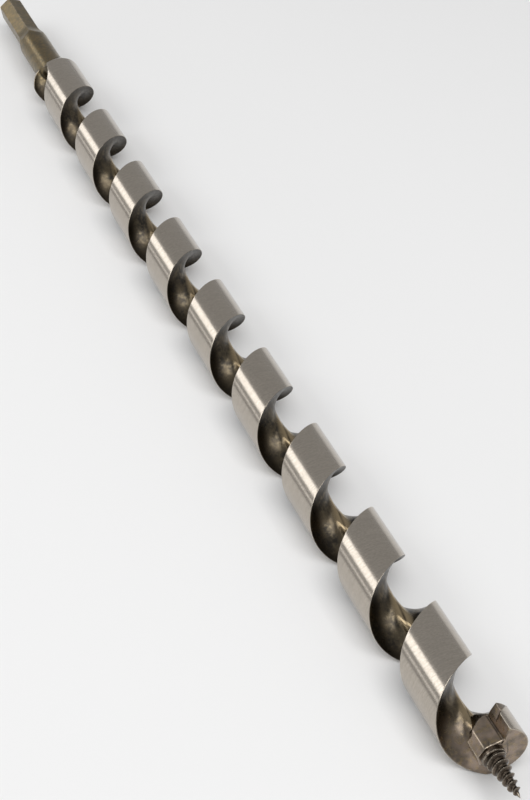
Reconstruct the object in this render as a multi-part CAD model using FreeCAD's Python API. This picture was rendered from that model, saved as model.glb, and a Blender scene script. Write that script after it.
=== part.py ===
import FreeCAD, Part
import math
import os

# A right-hand, single-twist auger bit with a hex shank and a lead screw.
# Every shape is made upright, with the shank's end face at Z = 0 and the tip above it,
# and is then laid down, so that the finished bit lies along +X from the origin.
# Lengths are in millimetres and angles in degrees. An angle about the bit is measured
# from the finished bit's +Z, and it grows the way a right-hand helix winds towards the tip.

# Stations along the bit, measured from the shank's end face
NECK_END = 54.6
SHOULDER_END = 66.4
HEAD_JOINT = 421.0
HEAD_END = 447.4
SCREW_TIP = 461.5

# Shank: a round bar with six flats milled on its end
NECK_RADIUS = 6.35
HEX_SIDES = 6
HEX_ACROSS_FLATS = 9.5
HEX_LENGTH = 27.0
HEX_CORNER_ANGLE = 9.0
FLAT_CUTTER_RADIUS = 25.0
SHANK_CHAMFER = 0.6

# Twist: one flute wound round a bar of the bit's full diameter. It reaches the bit's axis,
# and its walls lean over a little at its mouth.
BIT_RADIUS = 10.3
PITCH = 41.1
FLUTE_HALF_WIDTH = 10.5
FLUTE_MOUTH_HALF_WIDTH = 9.59
FLUTE_BEND_RADIUS = 6.0
CORE_RADIUS = 0.3
FLUTE_START = 73.73
FLUTE_START_ANGLE = 82.2
FLUTE_END_RADIUS = 10.5
FLUTE_END_REACH = 11.1

# Cutting head: the tip face, the lip, the side spur and the boss behind the lead screw
TIP_FACE_TILT = 8.5
TIP_FACE_TILT_ANGLE = 114.0
LIP_ANGLE = -13.0
LIP_SETBACK = 1.9
LIP_INNER_REACH = 3.6
LIP_DEPTH = 11.0
SPUR_ANGLE = -95.0
SPUR_SWEEP = 66.0
SPUR_THICKNESS = 6.5
SPUR_TOP = 437.5
BOSS_CORNERS = ((-36, 5.7), (36, 4.4), (81, 4.6), (134, 4.6), (194, 4.6), (254, 4.6))
BOSS_START = 437.8
BOSS_TAPER = 3.0
BOSS_START_SCALE = 0.4

# Lead screw: a tapered core with a V thread, a collar at its base and a spigot in the head
SPIGOT_RADIUS = 2.2
SPIGOT_LENGTH = 8.0
COLLAR_RADIUS = 3.5
SCREW_ROOT_RADIUS = 2.6
SCREW_TIP_RADIUS = 0.5
SCREW_POINT_LENGTH = 1.3
THREAD_PITCH = 2.1
THREAD_HALF_TURNS = 12
THREAD_START = 447.6
THREAD_DEPTH = 0.85
THREAD_FOOT = 0.3
THREAD_WIDTH_SHARE = 0.85

ORIGIN = FreeCAD.Vector(0, 0, 0)
SIDE = FreeCAD.Vector(0, 1, 0)
AXIS = FreeCAD.Vector(0, 0, 1)
CLEAR = 1.0


def lay_down(shape):
    """Turns an upright shape so that +Z becomes +X."""
    laid = shape.copy()
    laid.rotate(ORIGIN, SIDE, 90)
    return laid


def turned_to(shape, angle):
    """Turns an upright shape about the bit, so that its own +X points at an angle."""
    turned = shape.copy()
    turned.rotate(ORIGIN, AXIS, angle - 180)
    return turned


def bar(radius, start, end):
    return Part.makeCylinder(radius, end - start, FreeCAD.Vector(0, 0, start), AXIS)


def taper(start_radius, end_radius, start, end):
    return Part.makeCone(start_radius, end_radius, end - start, FreeCAD.Vector(0, 0, start), AXIS)


def helix_part(pitch, height, radius, rise):
    """A helix from a radius on +X, whose radius grows by a rise over its height."""
    cone_angle = math.atan(rise / height)
    slant = 1 / math.cos(cone_angle)
    return Part.makeHelix(pitch * slant, height * slant, radius, math.degrees(cone_angle))


def helix_path(pitch, half_turns, radius, rise_per_half_turn=0.0):
    """A helix made of half turns, whose radius may grow as it climbs."""
    half_pitch = pitch / 2
    edges = []
    for step in range(half_turns):
        part = helix_part(pitch, half_pitch, radius + step * rise_per_half_turn, rise_per_half_turn)
        part.rotate(ORIGIN, AXIS, 180 * step)
        part.translate(FreeCAD.Vector(0, 0, half_pitch * step))
        edges += part.Edges
    return Part.Wire(edges)


def flute_wall(radius):
    """Half the flute's width at a radius. Past the bend the wall curves over towards the mouth."""
    rise = BIT_RADIUS - FLUTE_BEND_RADIUS
    lean = FLUTE_HALF_WIDTH - FLUTE_MOUTH_HALF_WIDTH
    bend = (rise * rise + lean * lean) / (2 * lean)
    past = radius - FLUTE_BEND_RADIUS
    return FLUTE_HALF_WIDTH - bend + math.sqrt(bend * bend - past * past)


def wall_arc(side):
    """The curved part of one wall, from the bend to just outside the bar."""
    outside = BIT_RADIUS + CLEAR
    radii = (FLUTE_BEND_RADIUS, (FLUTE_BEND_RADIUS + outside) / 2, outside)
    points = [FreeCAD.Vector(radius, 0, side * flute_wall(radius)) for radius in radii]
    return Part.Arc(*points).toShape(), points[0], points[2]


def flute_section():
    upper, upper_bend, upper_end = wall_arc(1)
    lower, lower_bend, lower_end = wall_arc(-1)
    upper_foot = FreeCAD.Vector(CORE_RADIUS, 0, FLUTE_HALF_WIDTH)
    lower_foot = FreeCAD.Vector(CORE_RADIUS, 0, -FLUTE_HALF_WIDTH)
    edges = [
        Part.makeLine(lower_foot, lower_bend),
        lower,
        Part.makeLine(lower_end, upper_end),
        upper,
        Part.makeLine(upper_bend, upper_foot),
        Part.makeLine(upper_foot, lower_foot),
    ]
    return Part.Wire(Part.__sortEdges__(edges))


def flute_cutter():
    """The flute, from beside the neck to well past the tip."""
    length = HEAD_END + 2 * FLUTE_HALF_WIDTH - FLUTE_START
    path = helix_path(PITCH, math.ceil(2 * length / PITCH), FLUTE_BEND_RADIUS)
    cutter = path.makePipeShell([flute_section()], True, True)
    cutter.translate(FreeCAD.Vector(0, 0, FLUTE_START))
    return turned_to(cutter, FLUTE_START_ANGLE)


def flute_end():
    """The round end that a ball-nosed cutter leaves where the flute begins."""
    centre = FreeCAD.Vector(FLUTE_END_REACH, 0, FLUTE_START)
    return turned_to(Part.makeSphere(FLUTE_END_RADIUS, centre), FLUTE_START_ANGLE)


def flat_cutter(angle):
    """What the milling cutter takes off to leave one flat of the hex and its run-out."""
    apothem = HEX_ACROSS_FLATS / 2
    width = 4 * NECK_RADIUS
    slab_corner = FreeCAD.Vector(apothem, -width / 2, -CLEAR)
    slab = Part.makeBox(NECK_RADIUS, width, HEX_LENGTH + CLEAR, slab_corner)
    wheel_centre = FreeCAD.Vector(apothem + FLAT_CUTTER_RADIUS, -width / 2, HEX_LENGTH)
    wheel = Part.makeCylinder(FLAT_CUTTER_RADIUS, width, wheel_centre, SIDE)
    return turned_to(slab.fuse(wheel), angle)


def hex_shank():
    shank = bar(NECK_RADIUS, 0, NECK_END)
    for flat in range(HEX_SIDES):
        shank = shank.cut(flat_cutter(HEX_CORNER_ANGLE + (flat + 0.5) * 360 / HEX_SIDES))
    rim = [edge for edge in shank.Edges if edge.BoundBox.ZMax < SHANK_CHAMFER]
    return shank.makeChamfer(SHANK_CHAMFER, rim)


def spiral_twist(flute):
    shoulder = taper(NECK_RADIUS, BIT_RADIUS, NECK_END, SHOULDER_END)
    blank = shoulder.fuse(bar(BIT_RADIUS, SHOULDER_END, HEAD_JOINT)).removeSplitter()
    return blank.cut(flute_end()).cut(flute)


def spur():
    """The square-ended strip of rim that scores the side of the hole."""
    foot = FreeCAD.Vector(0, 0, SPUR_TOP)
    ring = Part.makeCylinder(BIT_RADIUS, HEAD_END - SPUR_TOP, foot, AXIS, SPUR_SWEEP)
    ring = ring.cut(bar(BIT_RADIUS - SPUR_THICKNESS, SPUR_TOP - CLEAR, HEAD_END + CLEAR))
    return turned_to(ring, SPUR_ANGLE)


def lip_clearance():
    """What is ground off in front of the cutting lip."""
    reach = 2 * BIT_RADIUS
    corner = FreeCAD.Vector(LIP_INNER_REACH, -LIP_SETBACK, HEAD_END - LIP_DEPTH)
    return turned_to(Part.makeBox(reach, BIT_RADIUS, LIP_DEPTH + CLEAR, corner), LIP_ANGLE)


def tip_face_clearance():
    """Everything past the tip face, which slopes back a little behind the lip."""
    size = 4 * BIT_RADIUS
    block = Part.makeBox(size, size, size, FreeCAD.Vector(-size / 2, -size / 2, 0))
    block.rotate(ORIGIN, SIDE, TIP_FACE_TILT)
    block.translate(FreeCAD.Vector(0, 0, HEAD_END - BIT_RADIUS * math.tan(math.radians(TIP_FACE_TILT))))
    return turned_to(block, TIP_FACE_TILT_ANGLE)


def boss_outline(station, scale):
    points = []
    for angle, radius in BOSS_CORNERS:
        turn = math.radians(angle - 180)
        reach = scale * radius
        points.append(FreeCAD.Vector(reach * math.cos(turn), reach * math.sin(turn), station))
    return Part.makePolygon(points + points[:1])


def boss():
    """The faceted boss that carries the lead screw."""
    shoulder = BOSS_START + BOSS_TAPER
    nose = Part.makeLoft([boss_outline(BOSS_START, BOSS_START_SCALE), boss_outline(shoulder, 1)], True, True)
    body = Part.makeLoft([boss_outline(shoulder, 1), boss_outline(HEAD_END - CLEAR, 1)], True, True)
    return nose.fuse(body)


def cutter_head(flute):
    head = bar(BIT_RADIUS, HEAD_JOINT, HEAD_END).cut(flute)
    head = head.fuse(spur()).cut(lip_clearance()).cut(tip_face_clearance())
    head = head.fuse(boss()).removeSplitter()
    return head.cut(bar(SPIGOT_RADIUS, HEAD_END - CLEAR - SPIGOT_LENGTH, HEAD_END + CLEAR))


def thread():
    """A V thread wound on the tapered core, from its small end back to the head."""
    foot = SCREW_TIP_RADIUS - THREAD_FOOT
    rise = (SCREW_ROOT_RADIUS - SCREW_TIP_RADIUS) / THREAD_HALF_TURNS
    path = helix_path(THREAD_PITCH, THREAD_HALF_TURNS, SCREW_TIP_RADIUS, rise)
    half_width = THREAD_PITCH * THREAD_WIDTH_SHARE / 2
    section = Part.makePolygon([
        FreeCAD.Vector(foot, 0, -half_width),
        FreeCAD.Vector(SCREW_TIP_RADIUS + THREAD_DEPTH, 0, 0),
        FreeCAD.Vector(foot, 0, half_width),
        FreeCAD.Vector(foot, 0, -half_width),
    ])
    ridge = path.makePipeShell([section], True, True)
    ridge.rotate(ORIGIN, FreeCAD.Vector(1, 0, 0), 180)
    ridge.translate(FreeCAD.Vector(0, 0, SCREW_TIP - SCREW_POINT_LENGTH))
    return ridge


def screw_point():
    base_start = HEAD_END - CLEAR
    taper_end = SCREW_TIP - SCREW_POINT_LENGTH
    core = bar(SPIGOT_RADIUS, base_start - SPIGOT_LENGTH, base_start)
    core = core.fuse(bar(COLLAR_RADIUS, base_start, THREAD_START))
    core = core.fuse(taper(SCREW_ROOT_RADIUS, SCREW_TIP_RADIUS, THREAD_START, taper_end))
    core = core.fuse(taper(SCREW_TIP_RADIUS, 0, taper_end, SCREW_TIP))
    return core.fuse(thread()).removeSplitter()


def write(name, shape):
    shape = lay_down(shape)
    print(name, "solids", len(shape.Solids), "valid", shape.isValid(), "mm3", round(shape.Volume, 1))
    shape.exportStep(os.path.join("parts", name + ".step"))


def main():
    os.makedirs("parts", exist_ok=True)
    flute = flute_cutter()
    write("hex_shank", hex_shank())
    write("spiral_twist", spiral_twist(flute))
    write("cutter_head", cutter_head(flute))
    write("screw_point", screw_point())


main()
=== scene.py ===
import math

import bmesh
import bpy
import numpy as np
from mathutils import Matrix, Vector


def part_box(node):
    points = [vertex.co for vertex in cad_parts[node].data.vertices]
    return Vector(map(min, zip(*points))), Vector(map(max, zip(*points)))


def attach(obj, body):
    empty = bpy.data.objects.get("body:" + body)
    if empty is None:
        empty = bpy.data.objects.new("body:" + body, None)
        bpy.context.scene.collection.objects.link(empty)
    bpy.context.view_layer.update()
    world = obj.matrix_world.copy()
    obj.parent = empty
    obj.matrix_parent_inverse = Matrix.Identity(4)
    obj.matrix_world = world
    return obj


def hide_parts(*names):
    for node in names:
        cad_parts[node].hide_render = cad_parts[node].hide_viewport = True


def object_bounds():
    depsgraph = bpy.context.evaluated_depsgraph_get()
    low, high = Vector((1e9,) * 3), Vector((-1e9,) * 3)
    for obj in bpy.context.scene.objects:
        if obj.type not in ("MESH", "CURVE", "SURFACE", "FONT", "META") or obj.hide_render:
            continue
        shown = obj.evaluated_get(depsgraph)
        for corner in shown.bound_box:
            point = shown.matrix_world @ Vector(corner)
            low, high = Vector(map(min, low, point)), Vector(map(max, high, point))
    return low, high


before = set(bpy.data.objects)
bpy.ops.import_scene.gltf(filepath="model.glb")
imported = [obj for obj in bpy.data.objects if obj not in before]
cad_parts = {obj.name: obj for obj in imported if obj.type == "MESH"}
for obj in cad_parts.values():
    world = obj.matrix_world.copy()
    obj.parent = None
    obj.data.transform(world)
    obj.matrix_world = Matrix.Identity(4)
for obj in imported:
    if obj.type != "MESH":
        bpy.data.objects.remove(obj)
cad_low, cad_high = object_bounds()


def colour(red, green, blue):
    return (red, green, blue, 1.0)


# The bit lies along +X. Lengths are in metres and angles in degrees. An angle about the bit
# is measured from +Z and grows the way a right-hand helix winds towards the tip.
MM = 0.001

# Stations along the bit
NECK_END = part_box("hex_shank")[1].x
HEAD_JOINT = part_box("spiral_twist")[1].x
SCREW_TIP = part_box("screw_point")[1].x
HEAD_END = HEAD_JOINT + 26.4 * MM

# Shank
NECK_RADIUS = 6.35 * MM
HEX_SIDES = 6
HEX_APOTHEM = 4.75 * MM
HEX_LENGTH = 27.0 * MM
HEX_CORNER_ANGLE = 9.0
FLAT_CUTTER_RADIUS = 25.0 * MM
SHANK_CHAMFER = 0.6 * MM

# Shoulder: its foot and its end lie farther along on the side that it leans towards
SHOULDER_LENGTH = 11.8 * MM
SHOULDER_LEAN_ANGLE = 24.2
FOOT_LEAN = 9.8 * MM
END_LEAN = 2.6 * MM

# Twist
BIT_RADIUS = 10.3 * MM
PITCH = 41.1 * MM
FLUTE_HALF_WIDTH = 10.5 * MM
FLUTE_MOUTH_HALF_WIDTH = 9.59 * MM
FLUTE_BEND_RADIUS = 6.0 * MM
CORE_RADIUS = 0.5 * MM
CORE_FILLET = 3.5 * MM
FLUTE_STATION = NECK_END + 14.8 * MM
FLUTE_STATION_ANGLE = 44.3
FLUTE_FULL_ANGLE = 54.2
FLUTE_END_STRETCH = 0.32 * MM
RUN_OUT_ANGLE = 80.0
RUN_OUT_RISE = 0.105 * MM
RUN_OUT_SLANT = 3.1 / MM
EVEN_TWIST_START = NECK_END + 31.4 * MM

# Cutting head
TIP_FACE_TILT = 8.5
TIP_FACE_TILT_ANGLE = 114.0
LIP_ANGLE = -13.0
LIP_SETBACK = 1.9 * MM
LIP_INNER_REACH = 3.6 * MM
LIP_DEPTH = 11.0 * MM
SPUR_ANGLE = -95.0
SPUR_SWEEP = 66.0
SPUR_THICKNESS = 6.5 * MM
SPUR_TOP = HEAD_END - 9.9 * MM
# Angle and reach in millimetres of each corner of the boss
BOSS_CORNERS = ((-36, 5.7), (36, 4.4), (81, 4.6), (134, 4.6), (194, 4.6), (254, 4.6))
BOSS_START = HEAD_END - 9.6 * MM
BOSS_TAPER = 3.0 * MM
BOSS_LEAN = 3.8 * MM
BOSS_START_SCALE = 0.4
BOSS_END = HEAD_END - 1.0 * MM

# Lead screw
SCREW_START = HEAD_END - 1.0 * MM
COLLAR_RADIUS = 3.5 * MM
COLLAR_SLOPE = 2
SCREW_ROOT_RADIUS = 2.6 * MM
SCREW_TIP_RADIUS = 0.5 * MM
TAPER_START = HEAD_END + 0.2 * MM
TAPER_END = SCREW_TIP - 1.3 * MM
THREAD_PITCH = 2.1 * MM
THREAD_START = TAPER_END - 12.6 * MM
THREAD_FADE_IN = (THREAD_START - 0.4 * MM, THREAD_START + 0.8 * MM)
THREAD_FADE_OUT = (TAPER_END - 1.2 * MM, TAPER_END + 0.4 * MM)
THREAD_DEPTH = 0.85 * MM
THREAD_FLANK = 1.29

# Roundings
LAND_EDGE = 0.28 * MM
HEX_EDGE = 0.35 * MM
HEAD_EDGE = 0.3 * MM
BOSS_FILLET = 0.5 * MM
THREAD_EDGE = 0.12 * MM
THREAD_CREST = 0.3 * THREAD_EDGE
COLLAR_FILLET = 4 * THREAD_EDGE

# Mesh fineness: spacings, and rows of points that crowd towards an edge
ROW_SPACING = 0.6 * MM
SHANK_ROW_SPACING = 0.3 * MM
SHANK_COLUMN_ANGLE = 1.5
SHANK_EVEN_ROWS_START = 1.5 * MM
SHANK_END_ROWS = MM * np.array([0.08, 0.2, 0.35, 0.5, 0.65, 0.85, 1.1])
SHANK_FACE_ROWS = np.array([0.0, 0.25, 0.5, 0.75, 0.93]) * (HEX_APOTHEM - SHANK_CHAMFER)
SCREW_ROW_SPACING = 0.07 * MM
SCREW_COLUMN_ANGLE = 4.0
SHOULDER_CELL = 0.3 * MM
HEAD_CELL = 0.24 * MM
RIM_ROWS = MM * np.array([0.04, 0.11, 0.2, 0.34, 0.6, 1.0])
WALL_ROWS = MM * np.linspace(8.8, 0.9, 17)
CORE_HALF_ANGLE = 66
CORE_POINTS = 5
LAND_MARGIN_ANGLE = 10
LAND_POINTS = 26
CUT_OVERRUN = 1.0 * MM

# Numerical steps and tolerances
SLOPE_STEP = 0.01 * MM
BEND_STEP = 0.15 * MM
BEND_SLOPE_STEP = 0.05 * MM
LEAST_STEEPNESS = 0.05
LEAST_SLOPE = 1e-9
SETTLING_REACH = 0.3 * MM
NET_ROUNDS = 3
CUT_TOLERANCE = 1e-8
CAP_TOLERANCE = 1e-6
CAP_SQUARENESS = 0.9

# Finish, painted highlight and painted shade: each pair says where a mark starts to change
# and where it has changed in full. Bends are per millimetre.
GROUND_ABOVE_FLUTE = (-0.12 * MM, 0.12 * MM)
GROUND_NEAR_BAR = (-0.35 * MM, -0.15 * MM)
GROUND_BAR_RADIUS = (NECK_RADIUS + 0.1 * MM, NECK_RADIUS + 0.7 * MM)
BLACKENED_FROM = (NECK_END + 7.0 * MM, NECK_END + 13.0 * MM)
BLACKENED_TO = (HEAD_END - 17.0 * MM, HEAD_END - 7.0 * MM)
WEB_RADIUS = (0.9 * MM, 2.6 * MM)
WORN_AND_HIGHLIT_BEND = (0.35, 1.6)
SHADED_CORNER_BEND = (0.1, 0.9)
# Painted shadow on the flute wall under the land rims
UNDERCUT_RADIUS = (5.0 * MM, 9.0 * MM)
UNDERCUT_OFFSET = (0, 3.0 * MM)
UNDERCUT_SHADE = 0.85

# Colours of each surface: the broad one, that of its patches or streaks, that of its specks
GROUND = (colour(0.50, 0.45, 0.39), colour(0.43, 0.39, 0.34), colour(0.37, 0.33, 0.28))
OXIDE = (colour(0.042, 0.037, 0.031), colour(0.10, 0.081, 0.056), colour(0.16, 0.13, 0.085))
BRONZE = (colour(0.15, 0.125, 0.08), colour(0.19, 0.15, 0.085), colour(0.27, 0.19, 0.09))
HEAT_TINT = (colour(0.17, 0.14, 0.11), colour(0.33, 0.26, 0.21), colour(0.36, 0.27, 0.15))
OILED = (colour(0.07, 0.055, 0.042), colour(0.11, 0.085, 0.065), colour(0.16, 0.13, 0.10))
# Convex edges lightened: partly real wear, partly a painted highlight
WORN_AND_HIGHLIT = colour(0.58, 0.52, 0.43)
# Painted glint: straw colour laid on the web near the axis
WEB_GLINT_PAINT = colour(0.62, 0.48, 0.29)
# Painted shade for concave corners and for the flute wall under the land rims
SHADE_PAINT = colour(0.02, 0.016, 0.012)

# Grain of the steel: its size, how far it is drawn out along X, Y and Z, and its detail.
# A speck's size is a share of a patch's.
GRINDING_PITCH = 0.2 * MM
MARK_STRETCH = (1.0, 30.0, 30.0)
MARK_DETAIL = 2.0
GRAIN_STRETCH = (1.0, 2.0, 2.0)
GRAIN_DETAIL = 4.0
SPECK_SHARE = 0.3
SPECK_DETAIL = 5.0

# Spans of a noise's value. The last two numbers of four are what its ends are turned into.
BROAD_PATCHES = (0.38, 0.62, 0.0, 1.0)
SMALL_PATCHES = (0.46, 0.72, 0.0, 0.7)
MARK_STREAKS = (0.35, 0.65, 0.0, 1.0)
GRAIN_PATCHES = (0.4, 0.7, 0.0, 0.6)
SHADE_PATCHES = (0.3, 0.6, 0.4, 0.9)
GROUND_ROUGHNESS = (0.3, 0.7, 0.15, 0.23)
SKIN_RELIEF = (0.2, 0.8, 0.0, 2.5)
RUBBED_AND_HIGHLIT_SPECKS = (0.35, 0.65)
ROUGH_SPECKS = (0.3, 0.7)

# Shares and strengths of what is laid over the steel, painted highlights among them
LEAST_WEAR_AND_HIGHLIGHT = 0.2
WEB_GLINT_SHARE = 0.6
WEB_ROUGHNESS = 0.2
MARK_RELIEF = 0.4
BUMP_STRENGTH = 0.35
BUMP_HEIGHT = 0.01 * MM

# Stage, light and camera
FLOOR_REACH = 6.0
FLOOR_GREY = 0.86
FLOOR_ROUGHNESS = 0.9
WORLD_GREY = 0.43
CAMERA_PLACE = (0.6768, -0.16201, 0.36055)
CAMERA_TURN = (49.2239, 0.0, 67.1378)
CAMERA_LENS = 75.917
SENSOR_WIDTH = 36.0
NEAREST_SEEN = 0.01


# ---------------------------------------------------------------- fields: negative inside the steel

def soft_max(a, b, blend):
    """The larger of two values, with the corner between them rounded over."""
    overlap = np.clip(blend - np.abs(a - b), 0, None) / blend
    return np.maximum(a, b) + overlap * overlap * blend / 4


def soft_min(a, b, blend):
    return -soft_max(-a, -b, blend)


def polar(points):
    """Station, radius and angle in degrees of each point."""
    x, y, z = points.T
    return x, np.hypot(y, z), np.degrees(np.arctan2(-y, z))


def across(radius, angle, towards):
    """Coordinates of points in a section, along a direction and square to it."""
    turn = np.radians(angle - towards)
    return radius * np.cos(turn), radius * np.sin(turn)


def section_point(x, radius, angle):
    turn = np.radians(angle)
    return np.stack([x + 0 * radius, -radius * np.sin(turn), radius * np.cos(turn)], -1)


def envelope(x, angle):
    """Radius of the bar that the bit is cut from: the neck, the shoulder and the full bar."""
    lean = np.clip(np.cos(np.radians(angle - SHOULDER_LEAN_ANGLE)), 0, None)
    foot = NECK_END + FOOT_LEAN * lean
    end = NECK_END + SHOULDER_LENGTH + END_LEAN * lean
    cone = NECK_RADIUS + (BIT_RADIUS - NECK_RADIUS) * (x - foot) / (end - foot)
    neck = NECK_RADIUS + 0 * cone
    return soft_min(soft_max(cone, neck, HEX_EDGE), BIT_RADIUS + 0 * cone, HEX_EDGE)


def bar_field(points):
    x, radius, angle = polar(points)
    return radius - envelope(x, angle)


def flute_half_width(radius):
    """Straight near the axis. Past the bend the wall curves over towards the mouth."""
    rise = BIT_RADIUS - FLUTE_BEND_RADIUS
    lean = FLUTE_HALF_WIDTH - FLUTE_MOUTH_HALF_WIDTH
    bend = (rise * rise + lean * lean) / (2 * lean)
    past = np.clip(radius - FLUTE_BEND_RADIUS, 0, 2 * rise)
    return FLUTE_HALF_WIDTH - bend + np.sqrt(bend * bend - past * past)


def flute_place(x, angle):
    """How far the nearest turn of the flute has wound, and how far past its middle x lies."""
    along = x - FLUTE_STATION - PITCH * (angle - FLUTE_STATION_ANGLE) / 360
    turns = np.round(along / PITCH)
    return angle + 360 * turns, along - PITCH * turns


def flute_field(points):
    """Negative outside the flute, whose rounded end runs out of the steel beside the neck."""
    x, radius, angle = polar(points)
    wound, offset = flute_place(x, angle)
    before = np.clip(FLUTE_FULL_ANGLE - wound, 0, None)
    short_of_full = np.clip(RUN_OUT_ANGLE - wound - RUN_OUT_SLANT * offset, 0, None)
    floor_radius = CORE_RADIUS + RUN_OUT_RISE * short_of_full
    from_centre = np.hypot(offset, FLUTE_END_STRETCH * before)
    lead = PITCH / (2 * math.pi)
    wall = (flute_half_width(radius) - from_centre) * radius / np.hypot(radius, lead)
    return soft_min(wall, radius - floor_radius, CORE_FILLET)


def twist_field(points):
    return soft_max(bar_field(points), flute_field(points), LAND_EDGE)


def flat_climb(x):
    """How far a hex flat has risen where the round cutter ran out of the bar."""
    beyond = np.clip(x - HEX_LENGTH, 0, FLAT_CUTTER_RADIUS)
    return FLAT_CUTTER_RADIUS - np.sqrt(FLAT_CUTTER_RADIUS ** 2 - beyond ** 2)


def shank_field(points):
    x, radius, angle = polar(points)
    climb = flat_climb(x)
    solid = bar_field(points)
    for flat in range(HEX_SIDES):
        facing = HEX_CORNER_ANGLE + (flat + 0.5) * 360 / HEX_SIDES
        reach, _ = across(radius, angle, facing)
        solid = soft_max(solid, reach - HEX_APOTHEM - climb, HEX_EDGE)
        bevel = (reach - HEX_APOTHEM + SHANK_CHAMFER - x) / math.sqrt(2)
        solid = soft_max(solid, bevel, HEX_EDGE)
    return soft_max(solid, -x, HEX_EDGE)


def spur_field(points):
    x, radius, angle = polar(points)
    _, past_start = across(radius, angle, SPUR_ANGLE)
    _, past_end = across(radius, angle, SPUR_ANGLE + SPUR_SWEEP)
    solid = soft_max(radius - BIT_RADIUS, BIT_RADIUS - SPUR_THICKNESS - radius, HEAD_EDGE)
    solid = soft_max(solid, SPUR_TOP - x, HEAD_EDGE)
    solid = soft_max(solid, -past_start, HEAD_EDGE)
    return soft_max(solid, past_end, HEAD_EDGE)


def lip_field(points):
    """Negative inside what is ground off in front of the cutting lip."""
    x, radius, angle = polar(points)
    outwards, ahead = across(radius, angle, LIP_ANGLE)
    ground_off = np.maximum(LIP_INNER_REACH - outwards, -LIP_SETBACK - ahead)
    return np.maximum(ground_off, HEAD_END - LIP_DEPTH - x)


def tip_face_field(points):
    x, radius, angle = polar(points)
    low_side, _ = across(radius, angle, TIP_FACE_TILT_ANGLE)
    tilt = math.radians(TIP_FACE_TILT)
    middle = HEAD_END - BIT_RADIUS * math.tan(tilt)
    return low_side * math.sin(tilt) + (x - middle) * math.cos(tilt)


def boss_field(points):
    """The faceted boss: a convex outline that grows from its start and then runs straight."""
    x, radius, angle = polar(points)
    towards_spur = np.cos(np.radians(angle - BOSS_CORNERS[0][0]))
    start = BOSS_START - BOSS_LEAN * np.clip(towards_spur, 0, None)
    share = np.clip((x - start) / BOSS_TAPER, 0, 1)
    scale = BOSS_START_SCALE + (1 - BOSS_START_SCALE) * share
    corners = [(MM * reach, towards) for towards, reach in BOSS_CORNERS]
    corners = [(r * math.cos(math.radians(a)), r * math.sin(math.radians(a))) for r, a in corners]
    along, side = across(radius, angle, 0)
    solid = soft_max(start - x, x - BOSS_END, HEAD_EDGE)
    for (a0, b0), (a1, b1) in zip(corners, corners[1:] + corners[:1]):
        length = math.hypot(a1 - a0, b1 - b0)
        out = ((b1 - b0) / length, (a0 - a1) / length)
        facet = along * out[0] + side * out[1] - scale * (a0 * out[0] + b0 * out[1])
        solid = soft_max(solid, facet, HEAD_EDGE)
    return solid


def head_field(points):
    solid = soft_min(twist_field(points), spur_field(points), HEAD_EDGE)
    solid = soft_max(solid, -lip_field(points), HEAD_EDGE)
    solid = soft_max(solid, tip_face_field(points), HEAD_EDGE)
    return soft_min(solid, boss_field(points), BOSS_FILLET)


def screw_core(x):
    """Radius of the screw without its thread: the collar, the taper and the point."""
    slope = (SCREW_TIP_RADIUS - SCREW_ROOT_RADIUS) / (TAPER_END - TAPER_START)
    taper = SCREW_ROOT_RADIUS + slope * (x - TAPER_START)
    collar = COLLAR_RADIUS - COLLAR_SLOPE * np.clip(x - TAPER_START, 0, None)
    point = SCREW_TIP_RADIUS * (SCREW_TIP - x) / (SCREW_TIP - TAPER_END)
    return soft_min(soft_max(collar, taper, COLLAR_FILLET), point, THREAD_EDGE)


def smooth_step(x, start, end):
    share = np.clip((x - start) / (end - start), 0, 1)
    return share * share * (3 - 2 * share)


def thread_height(x, angle):
    """Height of the V thread over the core. It fades in at the base and out at the tip."""
    crest = TAPER_END + THREAD_PITCH * (angle - 180) / 360
    gap = (x - crest) / THREAD_PITCH
    gap = np.abs(gap - np.round(gap)) * THREAD_PITCH
    gap = np.sqrt(gap * gap + THREAD_CREST ** 2)
    fade = smooth_step(x, *THREAD_FADE_IN)
    fade = fade * (1 - smooth_step(x, *THREAD_FADE_OUT))
    return fade * soft_max(THREAD_DEPTH - THREAD_FLANK * gap, 0 * gap, 2 * THREAD_EDGE)


def screw_field(points):
    x, radius, angle = polar(points)
    return radius - screw_core(x) - thread_height(x, angle)


# ---------------------------------------------------------------- meshes

def gradient(field, points, step=SLOPE_STEP):
    slopes = np.empty_like(points)
    for axis in range(3):
        offset = np.zeros(3)
        offset[axis] = step
        slopes[:, axis] = (field(points + offset) - field(points - offset)) / (2 * step)
    return slopes


def settle(field, points, rounds=4):
    """Moves points onto a field's zero surface."""
    for _ in range(rounds):
        slopes = gradient(field, points)
        steepness = np.maximum((slopes ** 2).sum(1), LEAST_STEEPNESS)
        move = np.clip(field(points) / steepness, -SETTLING_REACH, SETTLING_REACH)
        points = points - move[:, None] * slopes
    return points


def quads_between(first, second):
    """Faces that join two rows of vertex numbers, column by column."""
    return np.stack([first[:-1], second[:-1], second[1:], first[1:]], -1)


def twist_outline():
    """Angles from the flute's middle, and radii, of the points round one section of the twist."""
    wall_radius = np.concatenate([BIT_RADIUS - RIM_ROWS, WALL_ROWS])
    wall_angle = flute_half_width(wall_radius) * 360 / PITCH
    core_angle = np.linspace(CORE_HALF_ANGLE, -CORE_HALF_ANGLE, CORE_POINTS)
    rim = FLUTE_MOUTH_HALF_WIDTH * 360 / PITCH
    clear_of_rim = np.degrees(RIM_ROWS / BIT_RADIUS)
    back = np.linspace(rim + LAND_MARGIN_ANGLE, 360 - LAND_MARGIN_ANGLE - rim, LAND_POINTS)
    land = np.concatenate([rim + clear_of_rim, back, 360 - rim - clear_of_rim[::-1]])
    angles = np.concatenate([wall_angle, core_angle, -wall_angle[::-1], -land])
    radii = np.concatenate([
        wall_radius, 0 * core_angle + 2 * CORE_RADIUS, wall_radius[::-1], 0 * land + BIT_RADIUS,
    ])
    return angles, radii


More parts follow.
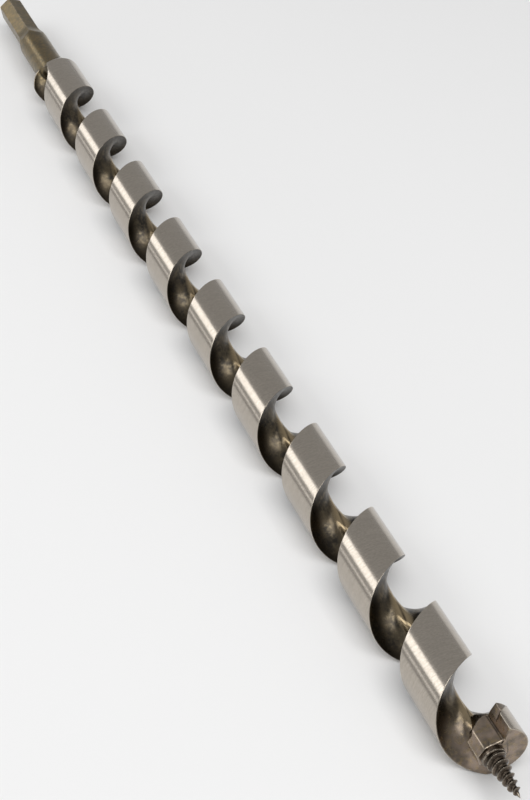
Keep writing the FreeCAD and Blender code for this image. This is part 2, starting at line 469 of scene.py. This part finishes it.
def ringed_grid(stations, radii, angles):
    """Rings of points about the bit, one at each station, and the faces between them."""
    x = np.array(stations)[:, None] + 0 * angles
    points = section_point(x, radii, angles).reshape(-1, 3)
    count = x.shape[1]
    number = np.arange(len(points)).reshape(-1, count)
    number = np.concatenate([number, number[:, :1]], 1)
    faces = [quads_between(a, b) for a, b in zip(number[:-1], number[1:])]
    return points, np.concatenate(faces).tolist()


def net_of(field, low, high, cell):
    """Faces round a field's zero surface, with one vertex in each grid cell that it crosses."""
    axes = [np.arange(a, b + cell, cell) for a, b in zip(low, high)]
    grid = np.stack(np.meshgrid(*axes, indexing="ij"), -1)
    inside = field(grid.reshape(-1, 3)).reshape(grid.shape[:3]) < 0
    filled = sum(
        inside[i:i - 1 or None, j:j - 1 or None, k:k - 1 or None].astype(int)
        for i in (0, 1) for j in (0, 1) for k in (0, 1)
    )
    crossed = (filled > 0) & (filled < 8)
    number = np.full(crossed.shape, -1)
    number[crossed] = np.arange(crossed.sum())
    points = grid[:-1, :-1, :-1][crossed] + cell / 2
    faces = []
    for axis in range(3):
        turned = np.moveaxis(inside, (axis, (axis + 1) % 3, (axis + 2) % 3), (0, 1, 2))
        cells = np.moveaxis(number, (axis, (axis + 1) % 3, (axis + 2) % 3), (0, 1, 2))
        changed = turned[:-1, 1:-1, 1:-1] != turned[1:, 1:-1, 1:-1]
        ring = [cells[:, :-1, :-1], cells[:, 1:, :-1], cells[:, 1:, 1:], cells[:, :-1, 1:]]
        faces.append(np.stack([part[changed] for part in ring], -1))
    return points, np.concatenate(faces)


def relax(points, faces):
    """Each point moves to the middle of its neighbours."""
    total = np.zeros_like(points)
    count = np.zeros(len(points))
    for side in range(4):
        a, b = faces[:, side], faces[:, (side + 1) % 4]
        for here, there in ((a, b), (b, a)):
            np.add.at(total, here, points[there])
            np.add.at(count, here, 1)
    return total / np.maximum(count, 1)[:, None]


def cut_and_cap(mesh, stations):
    """Cuts a mesh square to the bit at stations, and closes each cut. A side names what goes."""
    solid = bmesh.new()
    solid.from_mesh(mesh)
    for station, side in stations:
        geometry = solid.verts[:] + solid.edges[:] + solid.faces[:]
        cut = bmesh.ops.bisect_plane(
            solid, geom=geometry, dist=CUT_TOLERANCE, clear_outer=True,
            plane_co=(station, 0, 0), plane_no=(side, 0, 0),
        )
        rim = [e for e in cut["geom_cut"] if isinstance(e, bmesh.types.BMEdge) and e.is_boundary]
        bmesh.ops.triangle_fill(solid, use_beauty=True, use_dissolve=True, edges=rim)
    bmesh.ops.recalc_face_normals(solid, faces=solid.faces)
    solid.to_mesh(mesh)
    solid.free()


def coordinates(mesh):
    values = np.empty(len(mesh.vertices) * 3)
    mesh.vertices.foreach_get("co", values)
    return values.reshape(-1, 3)


def shade_from(mesh, field, stations):
    """Smooth shading from the field itself, and flat shading on the closed cuts."""
    points = coordinates(mesh)
    slopes = gradient(field, points)
    slopes /= np.linalg.norm(slopes, axis=1)[:, None]
    corners = np.empty(len(mesh.loops), int)
    mesh.loops.foreach_get("vertex_index", corners)
    normals = slopes[corners]
    for face in mesh.polygons:
        ends = [abs(face.center.x - station) < CAP_TOLERANCE for station, _ in stations]
        if any(ends) and abs(face.normal.x) > CAP_SQUARENESS:
            normals[list(face.loop_indices)] = face.normal
    mesh.shade_smooth()
    mesh.normals_split_custom_set(normals.tolist())


def mark(mesh, name, values):
    mesh.attributes.new(name, "FLOAT", "POINT").data.foreach_set("value", values.astype(np.float32))


def curvature(field, points):
    """How sharply a field's surface bends: above zero on an edge and below zero in a corner."""
    bend = np.zeros(len(points))
    for axis in range(3):
        offset = np.zeros(3)
        offset[axis] = BEND_STEP
        for way in (1, -1):
            slopes = gradient(field, points + way * offset, BEND_SLOPE_STEP)
            slopes /= np.linalg.norm(slopes, axis=1)[:, None] + LEAST_SLOPE
            bend += way * slopes[:, axis] / (2 * BEND_STEP)
    return bend


def mark_finish(mesh, field):
    """Stores where the surface was ground, where its edges are rubbed bright, partly as a painted
    highlight, and where painted shade lies in corners and under the land rims.
    """
    points = coordinates(mesh)
    on_bar = bar_field(points)
    x, radius, angle = polar(points)
    ground = smooth_step(on_bar - flute_field(points), *GROUND_ABOVE_FLUTE)
    ground *= smooth_step(on_bar, *GROUND_NEAR_BAR)
    ground *= smooth_step(envelope(x, angle), *GROUND_BAR_RADIUS)
    in_twist = smooth_step(x, *BLACKENED_FROM) * (1 - smooth_step(x, *BLACKENED_TO))
    # Painted shadow: the flute wall under each land rim
    undercut = smooth_step(radius, *UNDERCUT_RADIUS) * (1 - ground) * in_twist
    undercut *= smooth_step(-flute_place(x, angle)[1], *UNDERCUT_OFFSET)
    bend = curvature(field, points) * MM
    # Painted shade in concave corners
    corner = smooth_step(-bend, *SHADED_CORNER_BEND)
    mark(mesh, "ground", ground)
    mark(mesh, "blackened", in_twist)
    mark(mesh, "web", 1 - smooth_step(radius, *WEB_RADIUS))
    # Convex edges: rubbed bright, partly as a painted highlight
    mark(mesh, "worn_and_highlit", smooth_step(bend, *WORN_AND_HIGHLIT_BEND))
    mark(mesh, "painted_shade", np.maximum(corner, UNDERCUT_SHADE * undercut))


def held_in_bar(points):
    """Points that stand outside the bar's full radius are brought back to it."""
    radius = np.hypot(points[:, 1], points[:, 2])
    share = np.minimum(1, BIT_RADIUS / np.maximum(radius, MM))
    return points * np.stack([1 + 0 * share, share, share], -1)


def make_piece(name, points, faces, field, cuts, node, material):
    points = held_in_bar(points)
    mesh = bpy.data.meshes.new(name)
    mesh.from_pydata(points.tolist(), [], faces)
    cut_and_cap(mesh, cuts)
    shade_from(mesh, field, cuts)
    mark_finish(mesh, field)
    mesh.materials.append(material)
    piece = bpy.data.objects.new(name, mesh)
    bpy.context.scene.collection.objects.link(piece)
    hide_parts(node)
    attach(piece, "root")


def netted(field, low, high, cell):
    """Points and faces of an even net on a field's zero surface."""
    points, faces = net_of(field, low, high, cell)
    points = settle(field, points, NET_ROUNDS)
    for _ in range(NET_ROUNDS):
        points = settle(field, relax(points, faces), NET_ROUNDS)
    return points, faces.tolist()


def shank_piece(material):
    even_rows = np.arange(SHANK_EVEN_ROWS_START, NECK_END + CUT_OVERRUN, SHANK_ROW_SPACING)
    side = np.concatenate([SHANK_END_ROWS, even_rows])
    turn = np.arange(0, 360, SHANK_COLUMN_ANGLE)
    angles = HEX_CORNER_ANGLE + turn
    across_flat = np.cos(np.radians(turn % (360 / HEX_SIDES) - 180 / HEX_SIDES))
    flat = (HEX_APOTHEM + flat_climb(side))[:, None] / across_flat
    bevel = (HEX_APOTHEM - SHANK_CHAMFER + side)[:, None] / across_flat
    outer = np.minimum(np.minimum(flat, envelope(side[:, None], angles)), bevel)
    radii = np.concatenate([SHANK_FACE_ROWS[:, None] + 0 * angles, outer])
    stations = np.concatenate([0 * SHANK_FACE_ROWS, side])
    points, faces = ringed_grid(stations, radii, angles)
    points = settle(shank_field, points)
    make_piece(
        "hex_shank_forged", points, faces, shank_field, [(NECK_END, 1)],
        "hex_shank", material,
    )


def shoulder_piece(material):
    reach = BIT_RADIUS + 2 * SHOULDER_CELL
    low = (NECK_END - 3 * SHOULDER_CELL, -reach, -reach)
    high = (EVEN_TWIST_START + 3 * SHOULDER_CELL, reach, reach)
    points, faces = netted(twist_field, low, high, SHOULDER_CELL)
    make_piece(
        "twist_shoulder_forged", points, faces, twist_field,
        [(NECK_END, -1), (EVEN_TWIST_START, 1)], "spiral_twist", material,
    )


def twist_piece(material):
    stations = np.arange(EVEN_TWIST_START - CUT_OVERRUN, HEAD_JOINT + CUT_OVERRUN, ROW_SPACING)
    angles, radii = twist_outline()
    turned = FLUTE_STATION_ANGLE + 360 * (stations - FLUTE_STATION) / PITCH
    points, faces = ringed_grid(stations, radii, turned[:, None] + angles)
    points = settle(twist_field, points)
    make_piece(
        "spiral_twist_ground", points, faces, twist_field,
        [(EVEN_TWIST_START, -1), (HEAD_JOINT, 1)], "spiral_twist", material,
    )


def head_piece(material):
    reach = BIT_RADIUS + 2 * HEAD_CELL
    low = (HEAD_JOINT - 3 * HEAD_CELL, -reach, -reach)
    high = (HEAD_END + 2 * HEAD_CELL, reach, reach)
    points, faces = netted(head_field, low, high, HEAD_CELL)
    make_piece(
        "cutter_head_ground", points, faces, head_field, [(HEAD_JOINT, -1)],
        "cutter_head", material,
    )


def screw_piece(material):
    stations = np.arange(SCREW_START - CUT_OVERRUN, SCREW_TIP, SCREW_ROW_SPACING)
    angles = np.arange(0, 360, SCREW_COLUMN_ANGLE)
    radii = screw_core(stations)[:, None] + thread_height(stations[:, None], angles)
    stations = np.append(stations, SCREW_TIP)
    radii = np.concatenate([radii, 0 * radii[:1]])
    points, faces = ringed_grid(stations, radii, angles)
    make_piece(
        "lead_screw_threaded", points, faces, screw_field, [(SCREW_START, -1)],
        "screw_point", material,
    )


# ---------------------------------------------------------------- materials

def feed(tree, socket, value):
    if isinstance(value, bpy.types.NodeSocket):
        tree.links.new(value, socket)
    else:
        socket.default_value = value


def add(tree, kind, inputs, **settings):
    """A node with its settings made and its inputs set or linked."""
    node = tree.nodes.new("ShaderNode" + kind)
    for name, value in settings.items():
        setattr(node, name, value)
    for name, value in inputs.items():
        feed(tree, node.inputs[name], value)
    return node


def attribute(tree, name):
    return add(tree, "Attribute", {}, attribute_name=name).outputs["Fac"]


def noise(tree, grain, stretch=(1.0, 1.0, 1.0), detail=3.0):
    """Noise whose grains are about a given size, drawn out along each axis by the stretch."""
    place = add(tree, "TexCoord", {}).outputs["Object"]
    scale = [1 / (grain * length) for length in stretch]
    stretched = add(tree, "Mapping", {"Vector": place, "Scale": scale}).outputs["Vector"]
    inputs = {"Vector": stretched, "Scale": 1.0, "Detail": detail}
    return add(tree, "TexNoise", inputs).outputs["Fac"]


def mapped(tree, value, low, high, to_low, to_high):
    limits = {"From Min": low, "From Max": high, "To Min": to_low, "To Max": to_high}
    return add(tree, "MapRange", {"Value": value, **limits}).outputs["Result"]


def product(tree, a, b):
    return add(tree, "Math", {0: a, 1: b}, operation="MULTIPLY").outputs[0]


def mixed(tree, share, first, second):
    """One value or one colour blended into another."""
    colours = [value for value in (first, second) if isinstance(value, tuple)]
    sockets = [value for value in (first, second) if isinstance(value, bpy.types.NodeSocket)]
    is_colour = bool(colours) or any(socket.type == "RGBA" for socket in sockets)
    kind = "RGBA" if is_colour else "FLOAT"
    inputs = {"Factor": share, "A": first, "B": second}
    return add(tree, "Mix", inputs, data_type=kind).outputs["Result"]


def mottled(tree, cloud, speck, colours):
    """A skin of one colour with broad patches of a second and small ones of a third."""
    skin = mixed(tree, mapped(tree, cloud, *BROAD_PATCHES), colours[0], colours[1])
    return mixed(tree, mapped(tree, speck, *SMALL_PATCHES), skin, colours[2])


def lustre(tree, marks):
    """Colour of the ground lands, streaked by the marks that run round the bit."""
    grain = noise(tree, 2 * GRINDING_PITCH, GRAIN_STRETCH, GRAIN_DETAIL)
    streaked = mixed(tree, mapped(tree, marks, *MARK_STREAKS), GROUND[0], GROUND[1])
    return mixed(tree, mapped(tree, grain, *GRAIN_PATCHES), streaked, GROUND[2])


def raw_skin(tree, skin, cloud, speck, web_glint_area):
    """Colour where nothing was ground: a mottled skin, black scale in the flute, and a painted
    straw glint on the web near the axis.
    """
    outside = mottled(tree, cloud, speck, skin)
    in_flute = mottled(tree, cloud, speck, OXIDE)
    raw = mixed(tree, attribute(tree, "blackened"), outside, in_flute)
    # Painted glint: the web is tinted straw towards the axis
    return mixed(tree, product(tree, web_glint_area, WEB_GLINT_SHARE), raw, WEB_GLINT_PAINT)


def worn_highlit_and_shaded(tree, tint, cloud, speck, wear_and_highlight):
    """A colour with its edges rubbed bright, partly wear and partly a painted highlight, and
    painted shade in its corners and on the flute wall under the land rims.
    """
    rubbed_and_highlit = mapped(tree, speck, *RUBBED_AND_HIGHLIT_SPECKS, LEAST_WEAR_AND_HIGHLIGHT * wear_and_highlight, wear_and_highlight)
    # Convex edges lightened: partly wear, partly a painted highlight
    tint = mixed(tree, product(tree, attribute(tree, "worn_and_highlit"), rubbed_and_highlit), tint, WORN_AND_HIGHLIT)
    # Painted shade: corners and the flute wall under the rims darkened, in patches
    shade_share = product(tree, attribute(tree, "painted_shade"), mapped(tree, cloud, *SHADE_PATCHES))
    return mixed(tree, shade_share, tint, SHADE_PAINT)


def roughness(tree, marks, speck, web_glint_area, on_ground, skin_rough):
    """Even on the ground lands, and smoother on the web than on the skin."""
    rough = mapped(tree, speck, *ROUGH_SPECKS, *skin_rough)
    rough = mixed(tree, web_glint_area, rough, WEB_ROUGHNESS)
    return mixed(tree, on_ground, rough, mapped(tree, marks, *GROUND_ROUGHNESS))


def bumps(tree, marks, speck, on_ground):
    """Normals bumped by fine marks where the steel was ground, and by its skin elsewhere."""
    skin_relief = mapped(tree, speck, *SKIN_RELIEF)
    relief = mixed(tree, on_ground, skin_relief, product(tree, marks, MARK_RELIEF))
    inputs = {"Height": relief, "Strength": BUMP_STRENGTH, "Distance": BUMP_HEIGHT}
    return add(tree, "Bump", inputs).outputs["Normal"]


def worked_steel(name, skin, patch, wear_and_highlight, skin_rough):
    """Steel that is ground bright in places and keeps a mottled skin elsewhere."""
    material = bpy.data.materials.new(name)
    material.use_nodes = True
    tree = material.node_tree
    marks = noise(tree, GRINDING_PITCH, MARK_STRETCH, MARK_DETAIL)
    cloud = noise(tree, patch)
    speck = noise(tree, SPECK_SHARE * patch, detail=SPECK_DETAIL)
    on_ground = attribute(tree, "ground")
    # Where the web near the axis gets its painted glint and its smoother finish
    web_glint_area = product(tree, attribute(tree, "web"), attribute(tree, "blackened"))
    raw = raw_skin(tree, skin, cloud, speck, web_glint_area)
    tint = worn_highlit_and_shaded(tree, mixed(tree, on_ground, raw, lustre(tree, marks)), cloud, speck, wear_and_highlight)
    rough = roughness(tree, marks, speck, web_glint_area, on_ground, skin_rough)
    shader = tree.nodes["Principled BSDF"]
    feed(tree, shader.inputs["Base Color"], tint)
    feed(tree, shader.inputs["Roughness"], rough)
    feed(tree, shader.inputs["Normal"], bumps(tree, marks, speck, on_ground))
    shader.inputs["Metallic"].default_value = 1.0
    return material


def shank_material():
    return worked_steel(
        "bronzed_shank", BRONZE, patch=5.0 * MM, wear_and_highlight=0.35, skin_rough=(0.36, 0.28),
    )


def twist_material():
    return worked_steel(
        "ground_lands", BRONZE, patch=4.0 * MM, wear_and_highlight=0.4, skin_rough=(0.38, 0.26),
    )


def head_material():
    return worked_steel(
        "tinted_head", HEAT_TINT, patch=4.0 * MM, wear_and_highlight=0.45, skin_rough=(0.34, 0.24),
    )


def screw_material():
    return worked_steel(
        "oiled_screw", OILED, patch=1.6 * MM, wear_and_highlight=0.45, skin_rough=(0.32, 0.2),
    )


# ---------------------------------------------------------------- stage, light and camera

def floor():
    mesh = bpy.data.meshes.new("floor")
    ways = ((-1, -1), (1, -1), (1, 1), (-1, 1))
    corners = [(FLOOR_REACH * along, FLOOR_REACH * side, 0) for along, side in ways]
    mesh.from_pydata(corners, [], [(0, 1, 2, 3)])
    plane = bpy.data.objects.new("floor", mesh)
    plane.location = (cad_high.x / 2, 0, cad_low.z)
    bpy.context.scene.collection.objects.link(plane)
    paint = bpy.data.materials.new("pale_floor")
    paint.use_nodes = True
    shader = paint.node_tree.nodes["Principled BSDF"]
    shader.inputs["Base Color"].default_value = colour(FLOOR_GREY, FLOOR_GREY, FLOOR_GREY)
    shader.inputs["Roughness"].default_value = FLOOR_ROUGHNESS
    mesh.materials.append(paint)


def soft_box(name, angle, distance, station, length, width, power):
    """A rectangular lamp above the bit, long side along it, facing the bit's axis."""
    lamp = bpy.data.lights.new(name, "AREA")
    lamp.shape = "RECTANGLE"
    lamp.size = length
    lamp.size_y = width
    lamp.energy = power * length * width * math.pi
    holder = bpy.data.objects.new(name, lamp)
    turn = math.radians(angle)
    holder.location = (station, -distance * math.sin(turn), distance * math.cos(turn))
    holder.rotation_euler = (turn, 0, 0)
    bpy.context.scene.collection.objects.link(holder)


def studio_light():
    world = bpy.data.worlds.new("studio")
    world.use_nodes = True
    background = world.node_tree.nodes["Background"]
    background.inputs["Color"].default_value = colour(WORLD_GREY, WORLD_GREY, WORLD_GREY)
    bpy.context.scene.world = world
    soft_box(
        "key_box", angle=47.0, distance=0.8, station=-0.55, length=1.6, width=0.34, power=1.95,
    )
    soft_box(
        "edge_strip", angle=76.0, distance=0.8, station=-0.55, length=1.6, width=0.09, power=0.95,
    )
    soft_box("overhead", angle=0.0, distance=1.4, station=0.9, length=1.0, width=1.4, power=3.3)


def camera():
    data = bpy.data.cameras.new("camera")
    data.sensor_width = SENSOR_WIDTH
    data.lens = CAMERA_LENS
    data.clip_start = NEAREST_SEEN
    holder = bpy.data.objects.new("camera", data)
    holder.location = CAMERA_PLACE
    holder.rotation_euler = [math.radians(angle) for angle in CAMERA_TURN]
    bpy.context.scene.collection.objects.link(holder)
    bpy.context.scene.camera = holder


camera()
studio_light()
floor()
shank_piece(shank_material())
twist_steel = twist_material()
shoulder_piece(twist_steel)
twist_piece(twist_steel)
head_piece(head_material())
screw_piece(screw_material())
bpy.context.scene.view_settings.view_transform = "Standard"
